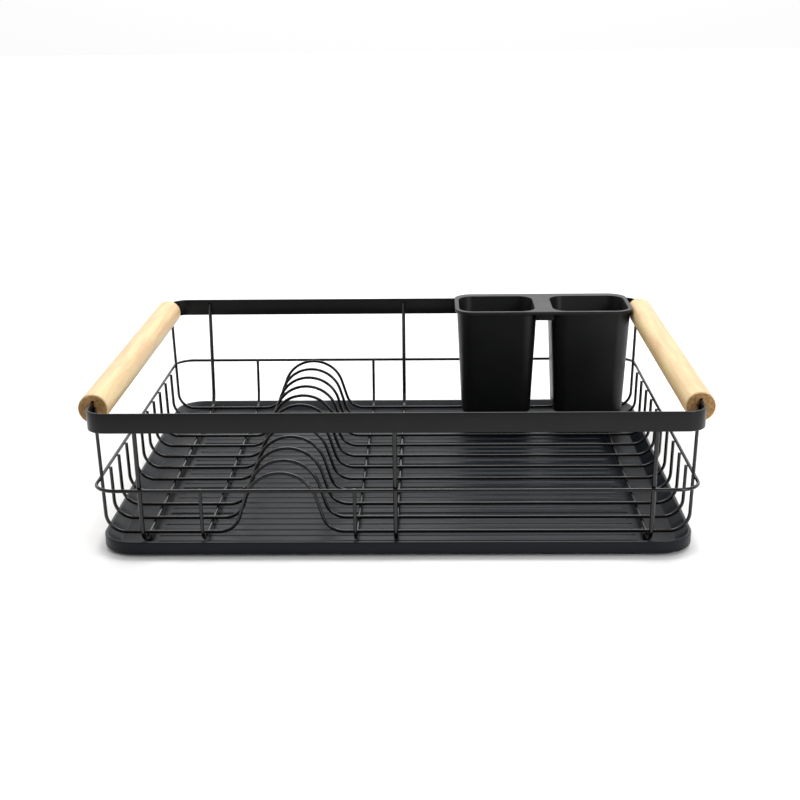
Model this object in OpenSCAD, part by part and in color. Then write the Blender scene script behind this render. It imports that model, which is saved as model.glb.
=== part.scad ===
// Countertop dish rack: a welded wire basket with wooden handles that stands in a ribbed drip tray,
// with a two-cup utensil caddy hooked over the back of its rim.
// Millimetres. X runs along the rack, Y from front to back, Z up.
// The origin is on the worktop, under the middle of the rack.

/* [Overall] */
// Length of the rim band, outside, along X
rack_length = 478; // [400:1:580]
// Depth of the rim band, outside, along Y
rack_depth = 380; // [310:1:460]
// Height of the rim band's top edge above the worktop
rack_top = 121; // [112:1:150]

/* [Rim band] */
// Height of the flat steel strip
band_height = 16; // [13:0.5:20]
// Thickness of the strip
band_thick = 2; // [1.5:0.1:3]
// Outside radius of the band's corners
band_corner_r = 16; // [10:1:24]
// Distance of the uprights' cut ends below the band's top edge
upright_end_drop = 3.6; // [1:0.1:6]

/* [Wires] */
// Diameter of the three frame wires
frame_wire_d = 3.6; // [3:0.1:5]
// Diameter of the plate wires and the two cross wires
plate_wire_d = 2.8; // [2:0.1:3.6]
// Diameter of the mid ring's wire
ring_wire_d = 2.8; // [2:0.1:3.6]
// Bend radius where a wire turns from the floor to a side, on its centre line
wire_bend_r = 16; // [10:1:20]
// How far two welded wires sink into each other
weld_sink = 0.15; // [0.1:0.05:0.3]
// Lean of the short sides, towards the floor, in degrees
end_lean = 1.5; // [1:0.5:4]
// Lean of the long sides, towards the floor, in degrees
side_lean = 3.5; // [1:0.5:5]
// Height of the plate wires' floor runs, on their centre line
floor_level = 12; // [11:0.5:16]
// Height of the mid ring, on its centre line
ring_level = 56.5; // [50:0.5:75]
// Radius of the mid ring's corners, on its centre line
ring_corner_r = 18; // [12:1:24]

/* [Plate wires] */
// Distance of the first and last plate wires from the rim band's long sides
plate_wire_inset = 27.75; // [22:0.25:34]
// Distance of the middle of the humps from the rim band's left end
hump_from_left = 146.5; // [130:0.5:170]
// Height of the humps above the floor runs, on the centre line
hump_height = 50; // [38:0.5:56]
// Radius of a hump's arch, on its centre line
hump_arch_r = 30; // [25:0.5:34]
// Radius where a hump rises from the floor, on its centre line
hump_foot_r = 17.5; // [14:0.5:20]
// Lean of a hump's two sides from upright, in degrees
hump_lean = 17; // [5:1:25]

/* [Frame and cross wires] */
// Distance of the outer frame wires from the rim band's ends
outer_frame_inset = 38.5; // [30:0.5:50]
// Distance of each cross wire from the middle of the humps
cross_wire_offset = 60.5; // [45:0.5:80]

/* [Handles] */
// Diameter of the wooden handles
handle_d = 24; // [19:0.5:29]
// Clearance between the handles' ends and the rim band's round corners
handle_end_gap = 14.5; // [4:0.5:40]
// Chamfer round the handles' ends
handle_chamfer = 0.8; // [0.3:0.1:2]
// Height of the band's top edge above the handle's centre
handle_seat = 6; // [3:0.5:7]
// Play of the band in the handle's groove, on each side
groove_play = 0.2; // [0.1:0.05:0.5]
// Distance of each handle screw from the handle's end
screw_inset = 40; // [25:1:70]
// Distance of the handle screws below the handle's centre
screw_drop = 1; // [0:0.5:2]
// Shank diameter of a handle screw
screw_d = 3.5; // [3:0.1:4.5]
// Head diameter of a handle screw
screw_head_d = 7; // [6:0.5:8]
// Height of a handle screw's domed head
screw_head_h = 2.4; // [2:0.1:3]
// Depth of the seat that a handle screw's head is sunk into
screw_seat_depth = 3; // [2.5:0.1:4]

/* [Drip tray] */
// How far the tray reaches past the plate wires' floor runs at each end
tray_end_margin = 2.6; // [1:0.1:12]
// How far the tray reaches past the frame wires' floor runs at the front and the back
tray_side_margin = 5.25; // [2:0.25:14]
// Height of the tray's body
tray_height = 10; // [8:0.5:14]
// Radius of the tray's corners, outside
tray_corner_r = 28; // [22:1:40]
// Thickness of the tray's floor
tray_floor = 2; // [1.6:0.1:3]
// Width of the tray's rim on top
tray_rim = 3; // [2:0.5:5]
// Run of the tray's sloped inner side
tray_slope = 9; // [4:0.5:12]
// Distance from one drain rib to the next
rib_pitch = 11.8; // [9:0.1:16]
// Width of a drain rib
rib_width = 3; // [2:0.5:5]
// Height of a drain rib
rib_height = 1; // [0.6:0.1:1.2]
// Clearance between the ribs' ends and the rack's feet
rib_foot_gap = 4; // [2:0.5:8]

/* [Feet] */
// Thickness of the tray's anti-slip pads
pad_height = 2.5; // [1.5:0.5:4]
// Diameter of the tray's anti-slip pads
pad_d = 18; // [12:1:24]
// Width of a rack foot across its wire
foot_width = 6; // [5:0.5:9]
// Length of a rack foot along its wire
foot_length = 14; // [10:1:20]
// Distance of the rack's feet from the ends of their wires' floor runs
foot_inset = 10; // [8:1:30]
// Gap between pieces that rest on each other and lift apart
rest_gap = 0.2; // [0.1:0.05:0.3]

/* [Utensil caddy] */
// Width of one cup at its mouth, outside, along X
cup_width = 78.5; // [66:0.5:88]
// Depth of one cup at its mouth, outside, along Y
cup_depth = 69; // [58:0.5:80]
// Clearance between the caddy's underside and the plate wires
cup_floor_gap = 4.1; // [1:0.1:15]
// Gap between the two cups at the mouth
cup_gap = 13.5; // [10:0.5:18]
// Wall thickness of the cups
cup_wall = 2; // [1.6:0.1:2.6]
// Radius of the cups' corners at the mouth, outside
cup_corner_r = 16; // [10:0.5:20]
// How much the left and right sides of a cup draw in from mouth to floor
cup_draft = 5; // [2:0.5:7]
// Clearance between the cups' lower back edges and the bends of the frame wires behind them
cup_bend_gap = 0.55; // [0.4:0.05:1.5]
// Thickness of the caddy's rim
rim_thick = 3.3; // [2.5:0.1:4]
// How far the rim stands out past the cups
rim_overhang = 2; // [1:0.5:3]
// Drop of the skirt that joins the cups at the front
skirt_drop = 9; // [6:0.5:14]
// Clearance between the caddy and the right handle
caddy_handle_gap = 1.2; // [1:0.1:10]
// Clearance between the caddy and the rack's wires and band
caddy_play = 0.4; // [0.3:0.1:1]
// Drop of the hook behind the band
hook_drop = 9; // [6:0.5:12]
// Thickness of the hook
hook_thick = 2.4; // [1.8:0.1:3]
// Diameter of the drain holes in the cups' floors
drain_d = 6; // [4:0.5:8]

/* [Hidden] */

plate_wire_count = 12;

$fn = 48;
eps = 0.01;
collar_gap = 0.1;
collar_length = 0.6;
collar_extra = 0.04;

black_steel = [0.07, 0.07, 0.075];
black_plastic = [0.06, 0.06, 0.065];
charcoal_plastic = [0.17, 0.18, 0.2];
pale_wood = [0.93, 0.83, 0.64];
dark_rubber = [0.03, 0.03, 0.03];
zinc = [0.7, 0.7, 0.72];

function hundredth(size) = round(100 * size) / 100;

// Rim band
band_bottom = rack_top - band_height;
band_inner_x = rack_length / 2 - band_thick;
band_inner_y = rack_depth / 2 - band_thick;
upright_end = rack_top - upright_end_drop;
// Height at which an upright starts to lean, just under the band
lean_start = band_bottom - 3;
lean_bend_r = 60;

// Plate wires and the wires across them
plate_wire_pitch = (rack_depth - 2 * plate_wire_inset) / (plate_wire_count - 1);
hump_x = hump_from_left - rack_length / 2;
outer_frame_x = rack_length / 2 - outer_frame_inset;

// Centre lines of the uprights where they are welded to the band
plate_upright_x = band_inner_x - plate_wire_d / 2 + weld_sink;
frame_upright_y = band_inner_y - frame_wire_d / 2 + weld_sink;

// Centre lines at the mid ring's height and on the floor
plate_ring_x = plate_upright_x - (lean_start - ring_level) * tan(end_lean);
frame_ring_y = frame_upright_y - (lean_start - ring_level) * tan(side_lean);
ring_half_x = hundredth(plate_ring_x + (plate_wire_d + ring_wire_d) / 2 - weld_sink);
ring_half_y = hundredth(frame_ring_y + (frame_wire_d + ring_wire_d) / 2 - weld_sink);
cross_ring_y = ring_half_y - (plate_wire_d + ring_wire_d) / 2 + weld_sink;
frame_level = floor_level - (plate_wire_d + frame_wire_d) / 2 + weld_sink;
cross_level = floor_level - plate_wire_d + weld_sink;
plate_floor_x = plate_upright_x - (lean_start - floor_level) * tan(end_lean);
frame_floor_y = frame_upright_y - (lean_start - frame_level) * tan(side_lean);
cross_floor_y = cross_ring_y - (ring_level - cross_level) * tan(side_lean);
// Ends of the wires' floor runs
plate_run_x = hundredth(plate_floor_x - trim(wire_bend_r, 90 - end_lean));
frame_run_y = hundredth(frame_floor_y - trim(wire_bend_r, 90 - side_lean));
cross_run_y = hundredth(cross_floor_y - trim(wire_bend_r, 90 - side_lean));
// Cut ends of the wires that stop on the mid ring, just over its middle
ring_end_z = ring_level + ring_wire_d / 8;

// Humps: the straight length of a side, and the distance from the middle to the floor run
hump_turn = 90 - hump_lean;
hump_side = hundredth((hump_height - (hump_arch_r + hump_foot_r) * (1 - cos(hump_turn)))
                      / sin(hump_turn));
hump_reach = hundredth((hump_arch_r + hump_foot_r) * sin(hump_turn)
                       + hump_side * cos(hump_turn));

// Handles
handle_z = rack_top - handle_seat;
handle_x = rack_length / 2 - band_thick / 2;
handle_length = rack_depth - 2 * (band_corner_r + handle_end_gap);
groove_top = rack_top + 1;
screw_y = handle_length / 2 - screw_inset;
screw_z = handle_z - screw_drop;
band_hole_d = screw_d + 0.7;
seat_d = screw_head_d + 0.6;
// Distance of the screw heads' seats from the handle's centre, and of the screws' tips beyond it
screw_seat = handle_d / 2 - screw_seat_depth;
screw_past_centre = 4;
recess_width = 0.8;
recess_depth = 1.2;

// Drip tray and feet
tray_length = 2 * hundredth(plate_floor_x + tray_end_margin);
tray_depth = 2 * hundredth(frame_floor_y + tray_side_margin);
tray_edge = 1;
tray_base = pad_height;
tray_floor_top = tray_base + tray_floor;
tray_top = tray_base + tray_height;
tray_inner_x = tray_length / 2 - tray_rim - tray_slope;
tray_inner_y = tray_depth / 2 - tray_rim - tray_slope;
rib_half = outer_frame_x - foot_width / 2 - rib_foot_gap;
rib_rows = floor((tray_inner_y - rib_width) / rib_pitch);
pad_x = tray_length / 2 - tray_corner_r - pad_d / 2;
pad_y = tray_depth / 2 - tray_corner_r - pad_d / 2;
foot_y = frame_run_y - foot_inset;
foot_bottom = tray_floor_top + rest_gap;
foot_top = frame_level + frame_wire_d / 4;

// Caddy
caddy_bottom = floor_level + plate_wire_d / 2 + cup_floor_gap;
rim_bottom = rack_top + rest_gap;
rim_top = rim_bottom + rim_thick;
cup_height = rim_top - caddy_bottom;
// Share of a cup's draft that its corner radius shrinks by
corner_draw = 0.7;
caddy_right = rack_length / 2 - band_thick / 2 - handle_d / 2 - caddy_handle_gap;
caddy_x = caddy_right - cup_width - cup_gap / 2;
caddy_back = frame_upright_y - frame_wire_d / 2 - caddy_play;
cup_y = caddy_back - cup_depth / 2;
// How much the front and back of a cup draw in, so that it clears the bends behind it
bend_inner_r = wire_bend_r - frame_wire_d / 2;
bend_rise = max(0, wire_bend_r - (caddy_bottom - frame_level));
cup_draft_depth = hundredth(caddy_back - frame_run_y + cup_bend_gap
                            - sqrt(bend_inner_r * bend_inner_r - bend_rise * bend_rise));
hook_inner_y = rack_depth / 2 + caddy_play;
caddy_width = 2 * cup_width + cup_gap;
rim_front_y = caddy_back - cup_depth - rim_overhang;
rim_back_y = hook_inner_y + hook_thick;

// ---- General shapes -------------------------------------------------------------------------

// A flat rectangle with round corners, centred
module round_rect(length, depth, r) {
    union() {
        square([length - 2 * r, depth], center = true);
        square([length, depth - 2 * r], center = true);
        for (sx = [-1, 1], sy = [-1, 1])
            translate([sx * (length / 2 - r), sy * (depth / 2 - r)]) circle(r = r);
    }
}

// A profile carried round a rectangle with round corners. The profile's own x is measured
// outwards from the corner circle's centre, and its y becomes z.
module ring_sweep(half_x, half_y, r) {
    run_x = 2 * (half_x - r);
    run_y = 2 * (half_y - r);
    for (side = [0, 1])
        rotate([0, 0, 180 * side]) {
            translate([half_x - r, run_y / 2, 0])
                rotate([90, 0, 0]) linear_extrude(height = run_y) children();
            translate([run_x / 2, half_y - r, 0])
                rotate([0, 0, 90]) translate([0, run_x, 0])
                    rotate([90, 0, 0]) linear_extrude(height = run_x) children();
            translate([half_x - r, half_y - r, 0]) rotate_extrude(angle = 90) children();
            translate([r - half_x, half_y - r, 0])
                rotate([0, 0, 90]) rotate_extrude(angle = 90) children();
        }
}

// Length of straight that a bend of radius r takes off each side of a corner
function trim(r, angle) = r * tan(angle / 2);

// A straight run of wire along +Z, and what follows at its end
module run(length, d) {
    translate([0, 0, collar_gap]) cylinder(d = d, h = length - 2 * collar_gap);
    translate([0, 0, length]) children();
}

// Runs stop a hair short of the bends. A collar a hair wider than the wire makes them one solid.
module collar(d) {
    translate([0, 0, -collar_length / 2]) cylinder(d = d + collar_extra, h = collar_length);
}

// A bend of a wire that comes in along +Z, and what follows at its end. A positive angle turns
// towards -X.
module bend(r, angle, d) {
    side = sign(angle);
    reach = 2 * (r + d);
    collar(d);
    translate([-side * r, 0, 0]) {
        difference() {
            rotate([90, 0, 0]) rotate_extrude() translate([r, 0]) circle(d = d);
            translate([-reach, -reach, -2 * reach]) cube(2 * reach);
            rotate([0, -angle, 0]) translate([-reach, -reach, 0]) cube(2 * reach);
        }
        rotate([0, -angle, 0]) translate([side * r, 0, 0]) {
            collar(d);
            children();
        }
    }
}

// ---- Drip tray ------------------------------------------------------------------------------

module drip_tray() {
    color(charcoal_plastic) union() {
        translate([0, 0, tray_base]) linear_extrude(height = tray_floor)
            round_rect(tray_length - 2 * tray_rim, tray_depth - 2 * tray_rim,
                       tray_corner_r - tray_rim);
        ring_sweep(tray_length / 2, tray_depth / 2, tray_corner_r)
            polygon([
                [tray_corner_r - tray_rim - tray_slope, tray_base],
                [tray_corner_r - tray_edge, tray_base],
                [tray_corner_r, tray_base + tray_edge],
                [tray_corner_r, tray_top],
                [tray_corner_r - tray_rim, tray_top],
                [tray_corner_r - tray_rim - tray_slope, tray_floor_top]
            ]);
        for (row = [-rib_rows : rib_rows])
            translate([-rib_half, row * rib_pitch - rib_width / 2, tray_floor_top - eps])
                cube([2 * rib_half, rib_width, rib_height + eps]);
    }
}

module tray_pad(side_x, side_y) {
    color(dark_rubber) translate([side_x * pad_x, side_y * pad_y, 0])
        cylinder(d = pad_d, h = pad_height);
}

// ---- Welded basket --------------------------------------------------------------------------

module rim_band() {
    color(black_steel) difference() {
        translate([0, 0, band_bottom]) linear_extrude(height = band_height) difference() {
            round_rect(rack_length, rack_depth, band_corner_r);
            round_rect(rack_length - 2 * band_thick, rack_depth - 2 * band_thick,
                       band_corner_r - band_thick);
        }
        for (side = [-1, 1], end = [-1, 1])
            translate([side * handle_x - 2 * band_thick, end * screw_y, screw_z])
                rotate([0, 90, 0]) cylinder(d = band_hole_d, h = 4 * band_thick);
    }
}

module mid_ring() {
    color(black_steel) translate([0, 0, ring_level])
        ring_sweep(ring_half_x, ring_half_y, ring_corner_r)
            translate([ring_corner_r, 0]) circle(d = ring_wire_d);
}

// A wire's rise from the end of its floor run: a bend, a slanted run that ends on the mid ring,
// or a longer one that turns upright under the rim band and is welded to it
module upright(level, lean, to_band, d) {
    rise = (to_band ? lean_start : ring_end_z) - level;
    slant = rise / cos(lean) - trim(wire_bend_r, 90 - lean);
    bend(wire_bend_r, 90 - lean, d)
        if (to_band)
            run(hundredth(slant - trim(lean_bend_r, lean)), d) bend(lean_bend_r, lean, d)
                run(hundredth(upright_end - lean_start - trim(lean_bend_r, lean)), d);
        else
            run(hundredth(slant), d);
}

module plate_wire(number) {
    to_band = number == 1 || number == plate_wire_count;
    d = plate_wire_d;
    color(black_steel)
        translate([0, (number - (plate_wire_count + 1) / 2) * plate_wire_pitch, floor_level]) {
            mirror([1, 0, 0]) translate([plate_run_x, 0, 0]) rotate([0, 90, 0])
                upright(floor_level, end_lean, to_band, d);
            translate([-plate_run_x, 0, 0]) rotate([0, 90, 0])
                run(plate_run_x + hump_x - hump_reach, d)
                    bend(hump_foot_r, hump_turn, d) run(hump_side, d)
                        bend(hump_arch_r, -2 * hump_turn, d) run(hump_side, d)
                            bend(hump_foot_r, hump_turn, d)
                                run(plate_run_x - hump_x - hump_reach, d)
                                    upright(floor_level, end_lean, to_band, d);
        }
}

// A plain wire from front to back, under the plate wires, that rises at both ends
module across_wire(x, level, run_y, to_band, d) {
    color(black_steel) translate([x, 0, level]) rotate([0, 0, 90]) {
        mirror([1, 0, 0]) translate([run_y, 0, 0]) rotate([0, 90, 0])
            upright(level, side_lean, to_band, d);
        translate([-run_y, 0, 0]) rotate([0, 90, 0])
            run(2 * run_y, d) upright(level, side_lean, to_band, d);
    }
}

module frame_wire(x) {
    across_wire(x, frame_level, frame_run_y, true, frame_wire_d);
}

module cross_wire(x) {
    across_wire(x, cross_level, cross_run_y, false, plate_wire_d);
}

module rack_foot(side_x, side_y) {
    color(dark_rubber) difference() {
        translate([side_x * outer_frame_x - foot_width / 2,
                   side_y * foot_y - foot_length / 2, foot_bottom])
            cube([foot_width, foot_length, foot_top - foot_bottom]);
        translate([side_x * outer_frame_x, side_y * foot_y - foot_length, frame_level])
            rotate([-90, 0, 0]) cylinder(d = frame_wire_d, h = 2 * foot_length);
    }
}

// ---- Handles --------------------------------------------------------------------------------

module handle(side) {
    r = handle_d / 2;
    color(pale_wood) translate([side * handle_x, 0, handle_z]) difference() {
        rotate([90, 0, 0]) rotate_extrude() polygon([
            [0, -handle_length / 2],
            [r - handle_chamfer, -handle_length / 2],
            [r, handle_chamfer - handle_length / 2],
            [r, handle_length / 2 - handle_chamfer],
            [r - handle_chamfer, handle_length / 2],
            [0, handle_length / 2]
        ]);
        translate([-band_thick / 2 - groove_play, -handle_length, -handle_d])
            cube([band_thick + 2 * groove_play, 2 * handle_length,
                  handle_d + groove_top - handle_z]);
        for (end = [-1, 1])
            translate([0, end * screw_y, -screw_drop]) rotate([0, side * 90, 0]) {
                translate([0, 0, -screw_past_centre])
                    cylinder(d = screw_d, h = screw_past_centre + r);
                translate([0, 0, screw_seat]) cylinder(d = seat_d, h = 2 * screw_seat_depth);
            }
    }
}

// Two domed cross-head screws, driven in from the outer side
module handle_screws(side) {
    recess_length = 0.6 * screw_head_d;
    color(zinc) for (end = [-1, 1])
        translate([side * handle_x, end * screw_y, screw_z]) rotate([0, side * 90, 0])
            difference() {
                union() {
                    translate([0, 0, -screw_past_centre])
                        cylinder(d = screw_d, h = screw_past_centre + screw_seat);
                    translate([0, 0, screw_seat]) intersection() {
                        cylinder(d = screw_head_d, h = screw_head_h);
                        translate([0, 0, screw_head_h - screw_head_d])
                            sphere(r = screw_head_d);
                    }
                }
                for (turn = [0, 90])
                    translate([0, 0, screw_seat + screw_head_h]) rotate([0, 0, turn])
                        cube([recess_length, recess_width, 2 * recess_depth], center = true);
            }
}

// ---- Utensil caddy --------------------------------------------------------------------------

// A cup's outer or inner form, which draws in towards the floor
module cup_form(inset, bottom, top) {
    hull() for (end = [0, 1]) {
        z = end == 0 ? bottom : top - eps;
        share = (rim_top - z) / cup_height;
        draw = cup_draft * share + inset;
        draw_depth = cup_draft_depth * share + inset;
        translate([0, 0, z]) linear_extrude(height = eps)
            round_rect(cup_width - 2 * draw, cup_depth - 2 * draw_depth,
                       cup_corner_r - corner_draw * draw);
    }
}

module utensil_caddy() {
    cup_centre = (cup_width + cup_gap) / 2;
    rim_depth = rim_back_y - rim_front_y;
    color(black_plastic) difference() {
        union() {
            for (side = [-1, 1])
                translate([caddy_x + side * cup_centre, cup_y, 0])
                    cup_form(0, caddy_bottom, rim_top);
            translate([caddy_x, (rim_front_y + rim_back_y) / 2, rim_bottom])
                linear_extrude(height = rim_thick)
                    round_rect(caddy_width + 2 * rim_overhang, rim_depth,
                               cup_corner_r + rim_overhang);
            translate([caddy_x - cup_gap / 2 - cup_wall, rim_front_y + rim_overhang,
                       rim_top - skirt_drop])
                cube([cup_gap + 2 * cup_wall, cup_wall, skirt_drop - rim_thick / 2]);
            translate([caddy_x - caddy_width / 2 + cup_corner_r, hook_inner_y,
                       rim_bottom - hook_drop])
                cube([caddy_width - 2 * cup_corner_r, hook_thick, hook_drop + rim_thick / 2]);
        }
        for (side = [-1, 1])
            translate([caddy_x + side * cup_centre, cup_y, 0]) {
                cup_form(cup_wall, caddy_bottom + cup_wall, rim_top + eps);
                for (i = [-1, 1], j = [-1, 1])
                    translate([i * cup_width / 6, j * cup_depth / 6, caddy_bottom - 1])
                        cylinder(d = drain_d, h = cup_wall + 2);
            }
    }
}

// ---- Placement ------------------------------------------------------------------------------

drip_tray();
tray_pad(-1, -1);  // tray_pad_front_left
tray_pad(1, -1);  // tray_pad_front_right
tray_pad(-1, 1);  // tray_pad_back_left
tray_pad(1, 1);  // tray_pad_back_right
rim_band();
mid_ring();
plate_wire(1);  // plate_wire_01
plate_wire(2);  // plate_wire_02
plate_wire(3);  // plate_wire_03
plate_wire(4);  // plate_wire_04
plate_wire(5);  // plate_wire_05
plate_wire(6);  // plate_wire_06
plate_wire(7);  // plate_wire_07
plate_wire(8);  // plate_wire_08
plate_wire(9);  // plate_wire_09
plate_wire(10);  // plate_wire_10
plate_wire(11);  // plate_wire_11
plate_wire(12);  // plate_wire_12
frame_wire(-outer_frame_x);  // frame_wire_left
frame_wire(0);  // frame_wire_middle
frame_wire(outer_frame_x);  // frame_wire_right
cross_wire(hump_x - cross_wire_offset);  // cross_wire_left
cross_wire(hump_x + cross_wire_offset);  // cross_wire_right
rack_foot(-1, -1);  // rack_foot_front_left
rack_foot(1, -1);  // rack_foot_front_right
rack_foot(-1, 1);  // rack_foot_back_left
rack_foot(1, 1);  // rack_foot_back_right
handle(-1);  // handle_left
handle(1);  // handle_right
handle_screws(-1);  // handle_screws_left
handle_screws(1);  // handle_screws_right
utensil_caddy();
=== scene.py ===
"""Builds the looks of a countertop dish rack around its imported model.

The rack is a welded wire basket dipped in black epoxy, with a powder-coated flat steel rim and two
beech handles. It stands in a ribbed drip tray and carries a two-cup utensil caddy on its back rim.
"""

import logging
import math
from collections.abc import Iterable, Sequence
from dataclasses import dataclass, field
from enum import Enum

import bmesh
import bpy
from mathutils import Matrix, Vector


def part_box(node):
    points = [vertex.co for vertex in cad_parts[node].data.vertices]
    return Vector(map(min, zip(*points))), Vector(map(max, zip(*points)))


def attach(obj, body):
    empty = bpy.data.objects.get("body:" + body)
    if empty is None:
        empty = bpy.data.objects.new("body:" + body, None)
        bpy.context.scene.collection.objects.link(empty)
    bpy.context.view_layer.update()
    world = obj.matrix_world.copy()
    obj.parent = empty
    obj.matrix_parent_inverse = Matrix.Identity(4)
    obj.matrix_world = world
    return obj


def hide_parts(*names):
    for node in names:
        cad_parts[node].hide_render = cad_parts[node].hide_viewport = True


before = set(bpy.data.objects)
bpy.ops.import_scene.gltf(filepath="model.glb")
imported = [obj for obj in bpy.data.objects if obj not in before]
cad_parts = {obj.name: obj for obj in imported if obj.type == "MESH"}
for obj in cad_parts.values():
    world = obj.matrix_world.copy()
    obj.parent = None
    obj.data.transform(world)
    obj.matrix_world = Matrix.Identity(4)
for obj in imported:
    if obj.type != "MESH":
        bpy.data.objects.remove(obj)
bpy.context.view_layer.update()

MM = 0.001
# Points closer together than this are merged
MERGE_DISTANCE = 0.001 * MM
# Size of the patches over which a finish's roughness wanders
PATCH_MM = 25.0
# The range that holds nearly all values of a noise texture
NOISE_SPAN = (0.3, 0.7)

log = logging.getLogger("dish_rack")

Point = tuple[float, float]
Socket = bpy.types.NodeSocket


class Body(Enum):
    """The rigid bodies that a piece can ride on."""

    TRAY = "tray"
    RACK = "rack"
    CADDY = "caddy"


class Slot(Enum):
    """The record's material slots."""

    COATED_STEEL = "coated_steel"
    TRAY_PLASTIC = "tray_plastic"
    CADDY_PLASTIC = "caddy_plastic"
    BEECH = "beech"
    RUBBER = "rubber"
    SCREW_STEEL = "screw_steel"


# ---- Colour and node helpers ------------------------------------------------------------------


def linear(hex_colour: str) -> tuple[float, float, float, float]:
    """Turns an sRGB hex colour into linear RGBA.

    Args:
        hex_colour: Six hex digits, with or without a leading hash.

    Returns:
        The linear red, green, blue and an alpha of 1.
    """
    digits = hex_colour.lstrip("#")
    channels = [int(digits[i : i + 2], 16) / 255 for i in (0, 2, 4)]
    rgb = [c / 12.92 if c <= 0.04045 else ((c + 0.055) / 1.055) ** 2.4 for c in channels]
    return (*rgb, 1.0)


def add_node(
    tree: bpy.types.NodeTree,
    kind: str,
    settings: dict[str, object] | None = None,
    inputs: dict[str | int, object] | None = None,
) -> bpy.types.Node:
    """Adds a node with its settings and links.

    Args:
        tree: The tree that takes the node.
        kind: The node's type name.
        settings: Properties of the node itself.
        inputs: For each input socket, by name or number, a value or a socket to link from.

    Returns:
        The new node.
    """
    node = tree.nodes.new(kind)
    for name, value in (settings or {}).items():
        setattr(node, name, value)
    for name, value in (inputs or {}).items():
        if isinstance(value, Socket):
            tree.links.new(value, node.inputs[name])
        else:
            node.inputs[name].default_value = value
    return node


# ---- Finishes ---------------------------------------------------------------------------------


@dataclass(frozen=True)
class Finish:
    """A plain dielectric or metal surface with a fine relief.

    Attributes:
        name: What the material is and how its surface was made.
        colour: Base colour, sRGB hex.
        roughness: Mean roughness.
        roughness_spread: How far the roughness wanders to either side.
        metallic: 1 for bare metal, 0 otherwise.
        ior: Index of refraction.
        grain_mm: Size of the relief's bumps.
        relief_mm: Height of the relief's bumps.
    """

    name: str
    colour: str
    roughness: float
    roughness_spread: float = 0.03
    metallic: float = 0.0
    ior: float = 1.5
    grain_mm: float = 0.8
    relief_mm: float = 0.01

    def build(self) -> bpy.types.Material:
        """Makes the material.

        Returns:
            A node material that reads only Object coordinates.
        """
        material = bpy.data.materials.new(self.name)
        material.use_nodes = True
        tree = material.node_tree
        shader = tree.nodes["Principled BSDF"]
        shader.inputs["Base Color"].default_value = linear(self.colour)
        shader.inputs["Metallic"].default_value = self.metallic
        shader.inputs["IOR"].default_value = self.ior
        place = add_node(tree, "ShaderNodeTexCoord").outputs["Object"]
        patches = add_node(
            tree,
            "ShaderNodeTexNoise",
            inputs={"Vector": place, "Scale": 1 / (PATCH_MM * MM), "Detail": 2.0},
        )
        rough = add_node(
            tree,
            "ShaderNodeMapRange",
            inputs={
                "Value": patches.outputs["Fac"],
                "From Min": NOISE_SPAN[0],
                "From Max": NOISE_SPAN[1],
                "To Min": self.roughness - self.roughness_spread,
                "To Max": self.roughness + self.roughness_spread,
            },
        )
        tree.links.new(rough.outputs["Result"], shader.inputs["Roughness"])
        grain = add_node(
            tree,
            "ShaderNodeTexNoise",
            inputs={"Vector": place, "Scale": 1 / (self.grain_mm * MM), "Detail": 1.0},
        )
        bump = add_node(
            tree,
            "ShaderNodeBump",
            inputs={
                "Strength": 1.0,
                "Distance": self.relief_mm * MM,
                "Height": grain.outputs["Fac"],
            },
        )
        tree.links.new(bump.outputs["Normal"], shader.inputs["Normal"])
        return material


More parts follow.
